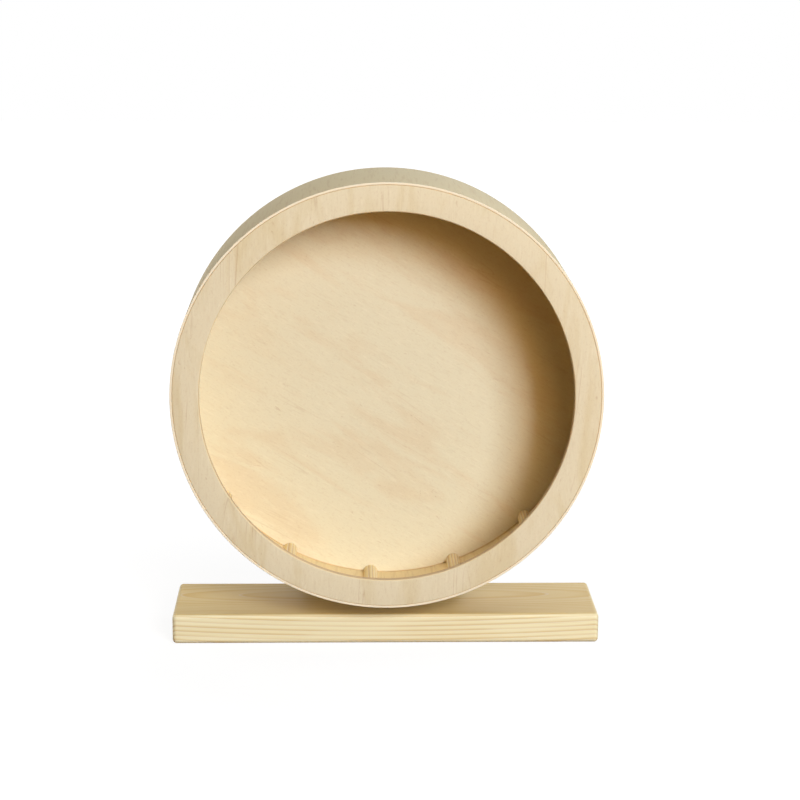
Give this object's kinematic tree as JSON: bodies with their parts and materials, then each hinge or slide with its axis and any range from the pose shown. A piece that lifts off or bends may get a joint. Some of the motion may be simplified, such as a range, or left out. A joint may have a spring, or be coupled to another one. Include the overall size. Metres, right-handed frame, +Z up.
{
  "type": "rodent exercise wheel",
  "caption": "Wooden drum wheel for small rodents: bent plywood tread with half-round rungs, closed back and open lipped front, turning on ball bearings behind it on a pine stand.",
  "frame": {"origin": "centre of the base board's underside", "axes": "+X to the right seen from the open front, +Y from the open front to the back along the axle, +Z up"},
  "size_m": [0.295, 0.1355, 0.323],
  "materials": {
    "planed_pine": "planed, untreated",
    "ring_plywood": "sanded, untreated",
    "bent_plywood": "sanded, untreated",
    "disc_plywood": "sanded, untreated",
    "hub_plywood": "sanded, untreated",
    "rung_wood": "moulded, untreated",
    "zinc_steel": "zinc plated",
    "bearing_steel": "ground",
    "shield_steel": "pressed",
    "nylon": "moulded"
  },
  "bodies": {
    "stand": {"base_board": "planed_pine", "upright": "planed_pine", "upright_screws": "zinc_steel", "front_bearing_outer_race": "bearing_steel", "front_bearing_shields": "shield_steel", "rear_bearing_outer_race": "bearing_steel", "rear_bearing_shields": "shield_steel"},
    "wheel": {"front_ring": "ring_plywood", "tread_strip": "bent_plywood", "back_disc": "disc_plywood", "rung_01": "rung_wood", "rung_02": "rung_wood", "rung_03": "rung_wood", "rung_04": "rung_wood", "rung_05": "rung_wood", "rung_06": "rung_wood", "rung_07": "rung_wood", "rung_08": "rung_wood", "rung_09": "rung_wood", "rung_10": "rung_wood", "rung_11": "rung_wood", "rung_12": "rung_wood", "rung_13": "rung_wood", "rung_14": "rung_wood", "rung_15": "rung_wood", "hub_block": "hub_plywood", "hub_screws": "zinc_steel", "axle_bolt": "zinc_steel", "front_spacer": "zinc_steel", "bearing_sleeve": "zinc_steel", "rear_spacer": "zinc_steel", "rear_washer": "zinc_steel", "lock_nut": "zinc_steel", "lock_nut_insert": "nylon", "front_bearing_inner_race": "bearing_steel", "rear_bearing_inner_race": "bearing_steel"},
    "front_ball_set": {"front_bearing_balls": "bearing_steel", "front_bearing_cage": "nylon"},
    "rear_ball_set": {"rear_bearing_balls": "bearing_steel", "rear_bearing_cage": "nylon"}
  },
  "joints": [
    {"name": "wheel_spin", "type": "hinge", "parent": "stand", "child": "wheel", "pos_m": [0, 0.037, 0.178], "axis": [0, 1, 0], "continuous": true},
    {"name": "front_balls_roll", "type": "hinge", "parent": "stand", "child": "front_ball_set", "pos_m": [0, 0.0425, 0.178], "axis": [0, 1, 0], "continuous": true},
    {"name": "rear_balls_roll", "type": "hinge", "parent": "stand", "child": "rear_ball_set", "pos_m": [0, 0.0535, 0.178], "axis": [0, 1, 0], "continuous": true}
  ],
  "couplings": [
    {"joint": "front_balls_roll", "follows": "wheel_spin", "ratio": 0.3677},
    {"joint": "rear_balls_roll", "follows": "wheel_spin", "ratio": 0.3677}
  ]
}
